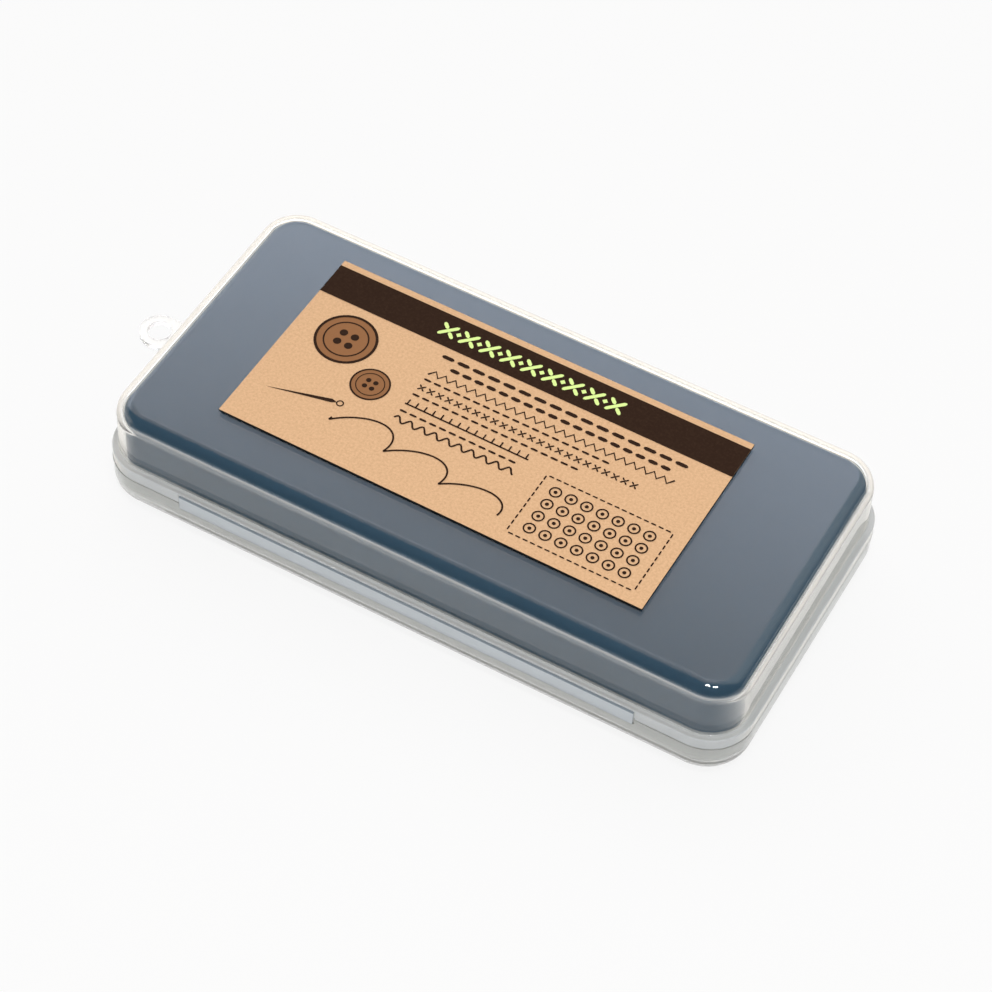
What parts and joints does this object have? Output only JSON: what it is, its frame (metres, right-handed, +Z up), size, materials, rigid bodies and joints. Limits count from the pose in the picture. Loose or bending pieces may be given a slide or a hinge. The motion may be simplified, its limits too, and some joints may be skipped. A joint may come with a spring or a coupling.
{
  "type": "bobbin storage box",
  "caption": "Flat clear hinged box with a deep half, a shallow lid, a soft slotted insert for sewing bobbins, a paper label, a snap catch and a hang tab.",
  "frame": {"origin": "middle of the lid's flat outer face, on which the closed box lies in the picture", "axes": "+X along the long side, away from the hang tab; +Y from the hinge side to the catch side; +Z up, from the lid to the deep half that lies on top"},
  "size_m": [0.1935, 0.093, 0.0313],
  "materials": {
    "clear_plastic": "clear moulded polypropylene, faintly cloudy",
    "navy_foam": "soft closed-cell foam, matt",
    "kraft_paper": "uncoated printed paper"
  },
  "bodies": {
    "lid": {"lid_shell": "clear_plastic"},
    "strap": {"hinge_strap": "clear_plastic", "lid_flex_web": "clear_plastic", "base_flex_web": "clear_plastic"},
    "base": {"base_shell": "clear_plastic", "hang_tab": "clear_plastic", "insert": "navy_foam", "label_card": "kraft_paper"},
    "catch": {"catch_flap": "clear_plastic", "catch_flex_web": "clear_plastic"}
  },
  "joints": [
    {"name": "strap_flex", "type": "hinge", "parent": "lid", "child": "strap", "pos_m": [0, -0.04478, 0.0099], "axis": [1, 0, 0], "range_deg": [0, 90]},
    {"name": "base_flex", "type": "hinge", "parent": "strap", "child": "base", "pos_m": [0, -0.04478, 0.0139], "axis": [1, 0, 0], "range_deg": [0, 90]},
    {"name": "catch_swing", "type": "hinge", "parent": "lid", "child": "catch", "pos_m": [0, 0.04568, 0.0066], "axis": [-1, 0, 0], "range_deg": [0, 105]}
  ],
  "couplings": [
    {"joint": "strap_flex", "follows": "base_flex", "ratio": 1}
  ]
}
